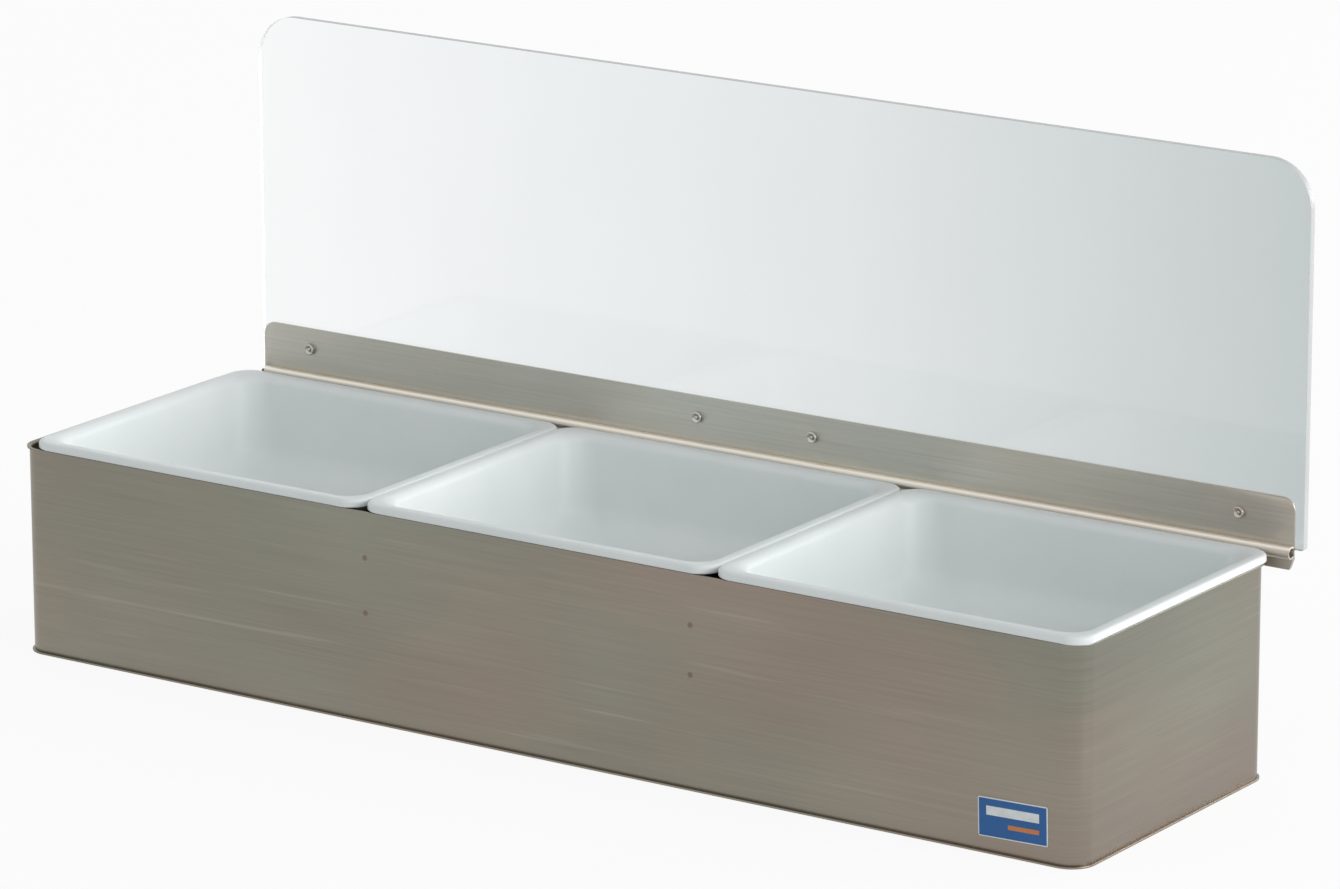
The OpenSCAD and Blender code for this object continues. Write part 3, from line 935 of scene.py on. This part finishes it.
# %% Build the strip
def strip_line():
    """The middle of the sheet, from the leaf's top edge to the end of the roll."""
    leaf_y = AXIS_Y + BEAD_R
    top, foot = strip_high.z, strip_low.z
    turns = [math.radians(90 / LEAF_STEPS * i) for i in range(LEAF_STEPS, -1, -1)]
    line = [(leaf_y, top - LEAF_CORNER * (1 - math.sin(turn))) for turn in turns]
    line += [(leaf_y, AXIS_Z + 2 * MM), (leaf_y, foot + HEM_CORNER + STRIP)]
    fold = (leaf_y - HEM_FOLD, foot + STRIP / 2 + HEM_FOLD)
    line += bend(fold, HEM_FOLD, 0, -180, 6)
    front = leaf_y - 2 * HEM_FOLD
    meet = math.degrees(math.acos((front - AXIS_Y) / BEAD_R))
    line.append((front, foot + HEM_CORNER + STRIP))
    line += bend((AXIS_Y, AXIS_Z), BEAD_R, -meet - 8, ROLL_END, ROLL_STEPS)
    return [Vector((0, y, z)) for y, z in line]


strip_ends = [strip_low.x, strip_low.x + BEAD_CUT, strip_high.x]
stops = sorted(strip_ends + [x for window in windows for x in window])
strip = pull_sheet("hinge_strip", strip_line(), stops, Vector((1, 0, 0)))
in_bead = AXIS_Y + BEAD_R - 1.2 * HEM_FOLD
for first, last in windows:
    choose(strip, lambda p: first < p.x < last and p.y < in_bead and p.z < AXIS_Z - 0.2 * MM,
           "faces")
    bpy.ops.mesh.delete(type="FACE")
choose(strip, lambda p: p.x < strip_low.x + BEAD_CUT and p.y < in_bead, "faces")
bpy.ops.mesh.delete(type="FACE")
print("strip is pulled through", len(stops), "stops")


# %% Round the strip's four corners
def round_corner(piece, end, level_z, radius, up):
    """Moves the vertices at one end in by what a corner of that radius takes off."""
    side = 1 if end > 0 else -1
    mesh = bmesh.from_edit_mesh(piece.data)
    heights = sorted({round(v.co.z, 6) for v in mesh.verts
                      if abs(v.co.x - end) < 1e-6 and abs(v.co.z - level_z) < radius})
    for height in heights:
        rise = radius - abs(height - level_z)
        inward = radius - math.sqrt(max(radius ** 2 - rise ** 2, 0.0))
        if inward < 1e-6:
            continue
        choose(piece, lambda p: abs(p.x - end) < 1e-6 and abs(p.z - height) < 2e-6
               and (p.z > AXIS_Z) == up)
        bpy.ops.transform.translate(value=(-side * inward, 0, 0))


choose(strip, lambda p: abs(p.x - strip_low.x - BEAD_CUT) < 1e-6
       and (p.z > strip_high.z - 1.05 * LEAF_CORNER or p.z < strip_low.z + 2 * STRIP))
bpy.ops.transform.translate(value=(LEAF_CORNER - BEAD_CUT + PAST_CORNER, 0, 0))
for end in (strip_low.x, strip_high.x):
    round_corner(strip, end, strip_high.z, LEAF_CORNER, True)
    round_corner(strip, end, strip_low.z, HEM_CORNER, False)
bpy.ops.object.mode_set(mode="OBJECT")
thicken(strip, STRIP)
ease_edges(strip, 0.1 * MM, angle=60)
finish_mesh(strip, "lid", ["lid_strip"], [strip_steel])

# %% [markdown]
# # The rod and its brackets
#
# A wire rod runs through the bead and through three rolled eyes. Each bracket is
# one piece of sheet: a plate spot welded to the back wall, a shelf that steps
# back under the lip, and a narrow neck that rises behind the rod and curls over
# it. The rod's two ends are lightly chamfered where it was sheared.


# %% Build the rod
ROD_STEPS = 4


def build_rod():
    """A drawn wire: a circle pulled along in short steps, chamfered at its ends."""
    deselect_all()
    bpy.ops.mesh.primitive_circle_add(vertices=32, radius=ROD_R, fill_type="NGON",
                                      location=(rod_low.x, AXIS_Y, AXIS_Z),
                                      rotation=(0, math.radians(90), 0))
    piece = bpy.context.object
    piece.name = piece.data.name = "rod_wire"
    bpy.ops.object.transform_apply(location=True, rotation=True, scale=True)
    bpy.ops.object.mode_set(mode="EDIT")
    bpy.ops.mesh.select_all(action="SELECT")
    length = rod_high.x - rod_low.x
    for step in range(ROD_STEPS):
        extrude((length / ROD_STEPS, 0, 0))
    turn_normals_out()
    bpy.ops.object.mode_set(mode="OBJECT")
    ease_edges(piece, 0.2 * MM)
    finish_mesh(piece, "rod", ["hinge_rod"], [rod_steel], 50)


build_rod()


# %% Build the brackets
PLATE_H = 18 * MM
SHELF_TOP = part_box("middle_hinge_bracket")[0].z + PLATE_H


def build_bracket(node, middle):
    """Plate, shelf, neck and rolled eye, bent from one sheet."""
    low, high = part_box(node)
    wall_y = low.y + BRACKET / 2
    eye_r = ROD_R + 0.05 * MM + BRACKET / 2
    neck_y = AXIS_Y + eye_r
    shelf_z = SHELF_TOP - BRACKET / 2
    inner = 0.5 * MM
    line = [(wall_y, low.z), (wall_y, (low.z + shelf_z) / 2)]
    line += bend((wall_y + inner, shelf_z - inner), inner, 180, 90, 4)
    line += bend((neck_y - inner, shelf_z + inner), inner, -90, 0, 4)
    line += bend((AXIS_Y, AXIS_Z), eye_r, 0, 320, 24)
    points = [Vector((0, y, z)) for y, z in line]
    half_plate, half_eye = (high.x - low.x) / 2, EYE_W / 2
    stops = [middle - half_plate, middle - half_eye, middle + half_eye, middle + half_plate]
    piece = pull_sheet(node + "_sheet", points, stops, Vector((1, 0, 0)))
    choose(piece, lambda p: abs(p.x - middle) > half_eye and p.z > shelf_z - inner, "faces")
    bpy.ops.mesh.delete(type="FACE")
    bpy.ops.object.mode_set(mode="OBJECT")
    thicken(piece, BRACKET)
    ease_edges(piece, 0.1 * MM, angle=60)
    finish_mesh(piece, "trough", [node], [plain_steel])


for node, middle in zip(bracket_nodes, bracket_at):
    build_bracket(node, middle)

# %% [markdown]
# # The clear lid
#
# The lid is one flat panel of acrylic, cut out with two large rounded corners and
# polished at its edges. Four holes are drilled through it for the rivets. A
# flat outline is stood up, pulled back by the panel's thickness and bevelled,
# and the cut edges get the frosted version of the plastic. The two large faces are
# shaded flat, because a smoothed one would bend what is seen through it.

# %% Build the panel
panel_low, panel_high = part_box("lid_panel")
rivet_low, rivet_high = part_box("lid_rivets")
LID_CORNER = 18 * MM
LID_FOOT = 1 * MM
LID_T = panel_high.y - panel_low.y
RIVET_HEAD_R = 3.2 * MM
RIVET_NEAR = 26.5 * MM
HOLE_R = 1.65 * MM
rivet_z = (rivet_low.z + rivet_high.z) / 2
lid_middle = (panel_low.x + panel_high.x) / 2
rivet_middle = (rivet_low.x + rivet_high.x) / 2
rivet_far = rivet_high.x - RIVET_HEAD_R - rivet_middle
rivet_at = [rivet_middle + x for x in (-rivet_far, -RIVET_NEAR, RIVET_NEAR, rivet_far)]


def build_panel():
    """The panel with its corners and soft edges, before it is drilled."""
    piece = open_plane("clear_panel")
    width, height = panel_high.x - panel_low.x, panel_high.z - panel_low.z
    bpy.ops.transform.resize(value=(width, height, 1), center_override=(0, 0, 0))
    for top, radius, steps in ((True, LID_CORNER, 14), (False, LID_FOOT, 4)):
        choose(piece, lambda p: (p.y > height / 2 - 1e-4) == top and abs(p.x) > width / 2 - 1e-4)
        bpy.ops.mesh.bevel(offset=radius, segments=steps, affect="VERTICES", profile=0.5)
    bpy.ops.mesh.select_all(action="SELECT")
    extrude((0, 0, LID_T))
    turn_normals_out()
    bpy.ops.object.mode_set(mode="OBJECT")
    piece.rotation_euler = (math.radians(90), 0, 0)
    piece.location = (lid_middle, panel_high.y, panel_low.z + height / 2)
    bpy.ops.object.transform_apply(location=True, rotation=True, scale=True)
    return piece


panel = build_panel()
deselect_all()
for x in rivet_at:
    bpy.ops.mesh.primitive_cylinder_add(vertices=32, radius=HOLE_R, depth=4 * LID_T,
                                        location=(x, panel_low.y, rivet_z),
                                        rotation=(math.radians(90), 0, 0))
    drill = bpy.context.object
    apply_modifier(panel, "BOOLEAN", operation="DIFFERENCE", object=drill, solver="EXACT")
    bpy.data.objects.remove(drill)
ease_edges(panel, 0.35 * MM, segments=3)
finish_mesh(panel, "lid", ["lid_panel"], [clear_acrylic_painted_reflection, edge_acrylic], 30)
for face in panel.data.polygons:
    face.material_index = 0 if abs(face.normal.y) > 0.9 else 1
    face.use_smooth = abs(face.normal.y) < 0.9999
panel.visible_shadow = False
print("holes drilled at", [round(x / MM, 1) for x in rivet_at])

# %% [markdown]
# # The blind rivets
#
# A blind rivet has a domed head behind the panel and a tail in front of the strip
# that swelled when its mandrel was pulled. The mandrel then snapped and left a
# stub in the hollow tail, which shows as a bright dot in a dark ring. Half of
# that outline is spun round the rivet's axis, and four copies are joined.

# %% Spin the rivets
TAIL_H = 1.6 * MM
TAIL_R = 2.3 * MM
SHANK_R = 1.6 * MM
HEAD_H = 1.0 * MM
MANDREL_R = 0.8 * MM
HOLLOW = 0.6 * MM
leaf_front = strip_high.y - STRIP
panel_back = panel_high.y


def spin_round(name, outline, x):
    """Spins an outline of (radius, depth along Y) round a rivet's axis."""
    points = [Vector((x + r, y, rivet_z)) for r, y in outline]
    piece = draw_line(name, points)
    bpy.ops.mesh.spin(steps=36, angle=math.radians(360), center=(x, 0, rivet_z), axis=(0, 1, 0))
    bpy.ops.mesh.select_all(action="SELECT")
    bpy.ops.mesh.remove_doubles(threshold=1e-6)
    bpy.ops.mesh.normals_make_consistent(inside=False)
    bpy.ops.object.mode_set(mode="OBJECT")
    return piece


def rivet_outline():
    """From the hollow in the tail, round the swelling and the shank, to the dome."""
    tail = leaf_front - TAIL_H
    bore = MANDREL_R + 0.05 * MM
    soft = 0.45 * MM
    line = [(bore, tail + HOLLOW), (bore + HOLLOW * 0.7, tail + HOLLOW * 0.55),
            (bore + HOLLOW, tail + 0.1 * MM)]
    line += [(TAIL_R - soft + soft * math.cos(a), tail + soft + soft * math.sin(a))
             for a in [math.radians(-90 + 18 * i) for i in range(6)]]
    line += [(TAIL_R, leaf_front - 0.3 * MM), (TAIL_R - 0.12 * MM, leaf_front)]
    line += [(SHANK_R, leaf_front), (SHANK_R, panel_back)]
    dome_r = (RIVET_HEAD_R ** 2 + HEAD_H ** 2) / (2 * HEAD_H)
    top = panel_back + HEAD_H
    line += [(RIVET_HEAD_R, panel_back), (RIVET_HEAD_R, panel_back + 0.12 * MM)]
    for share in (0.93, 0.8, 0.62, 0.42, 0.27):
        r = RIVET_HEAD_R * share
        line.append((r, top - dome_r + math.sqrt(dome_r ** 2 - r ** 2)))
    line += [(bore, top - 0.25 * MM), (bore, tail + HOLLOW)]
    return line


def join_pieces(parts, name):
    """Joins some objects into one piece with a name."""
    deselect_all()
    for part in parts:
        part.select_set(True)
    bpy.context.view_layer.objects.active = parts[0]
    bpy.ops.object.join()
    joined = bpy.context.object
    joined.name = joined.data.name = name
    return joined


rivets = join_pieces([spin_round("rivet", rivet_outline(), x) for x in rivet_at], "blind_rivets")
finish_mesh(rivets, "lid", ["lid_rivets"], [rivet_metal], 40)


# %% Spin the mandrel stubs
def stub_outline():
    """The snapped end of a mandrel, slightly necked and rough at its tip."""
    tip = leaf_front - TAIL_H + 0.15 * MM
    end = panel_back + HEAD_H / 2
    r = MANDREL_R
    return [(0.0, tip + 0.08 * MM), (0.35 * r, tip), (0.7 * r, tip + 0.06 * MM),
            (0.93 * r, tip + 0.25 * MM), (r, tip + 0.5 * MM), (r, end - 0.1 * MM),
            (0.85 * r, end), (0.0, end)]


stubs = join_pieces([spin_round("stub", stub_outline(), x) for x in rivet_at], "mandrel_stubs")
finish_mesh(stubs, "lid", ["rivet_mandrels"], [rivet_metal], 40)

# %% [markdown]
# # The label
#
# A small blue plate is stuck on the front near its lower right corner, slightly
# askew. It has a thin pale edge and two plain stripes, one pale and one orange,
# which are raised by the thickness of the ink.

# %% Build the label
LABEL_W, LABEL_H, LABEL_T = 29 * MM, 14.8 * MM, 0.25 * MM
LABEL_CORNER = 0.6 * MM
LABEL_EDGE = 0.35 * MM
LABEL_TILT = math.radians(1.5)
INK = 0.03 * MM
STRIPES_MM = [(22, 3.4, 0, 2.6), (13, 1.7, 4.5, -2.6)]
label_low, label_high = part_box("label")
label_at = Vector(((label_low.x + label_high.x) / 2, label_high.y, (label_low.z + label_high.z) / 2))


def build_label():
    """A plate with rounded corners and an inset face, lying flat before it is stuck on."""
    levels = [(LABEL_W, LABEL_H, LABEL_CORNER, (0, 0, 0)),
              (LABEL_W, LABEL_H, LABEL_CORNER, (0, 0, LABEL_T * 0.7)),
              (LABEL_W - LABEL_T * 0.6, LABEL_H - LABEL_T * 0.6, LABEL_CORNER, (0, 0, LABEL_T))]
    piece = stack_outlines("label_plate", levels, 5, True, True)
    pick(piece, "EDIT")
    choose(piece, lambda p: p.z > LABEL_T * 0.99, "faces")
    bpy.ops.mesh.inset(thickness=LABEL_EDGE)
    bpy.ops.object.mode_set(mode="OBJECT")
    return piece


label = build_label()
pick(label, "EDIT")
for width, height, x, y in STRIPES_MM:
    bpy.ops.mesh.select_all(action="DESELECT")
    spot = (x * MM, y * MM, LABEL_T)
    bpy.ops.mesh.primitive_plane_add(size=1, location=spot)
    bpy.ops.transform.resize(value=(width * MM, height * MM, 1), center_override=spot)
    extrude((0, 0, INK))
turn_normals_out()
bpy.ops.object.mode_set(mode="OBJECT")
finish_mesh(label, "trough", ["label"], [blue_ink, pale_ink, orange_ink])
for face in label.data.polygons:
    middle = face.center
    inner = (abs(middle.x) < LABEL_W / 2 - LABEL_EDGE and abs(middle.y) < LABEL_H / 2 - LABEL_EDGE)
    if middle.z > LABEL_T + INK / 4:
        face.material_index = 1 if middle.y > 0 else 2
    else:
        face.material_index = 0 if inner and middle.z > LABEL_T * 0.99 else 1
pick(label)
label.rotation_euler = (0, 0, LABEL_TILT)
bpy.ops.object.transform_apply(location=True, rotation=True, scale=True)
label.rotation_euler = (math.radians(90), 0, 0)
label.location = label_at
bpy.ops.object.transform_apply(location=True, rotation=True, scale=True)
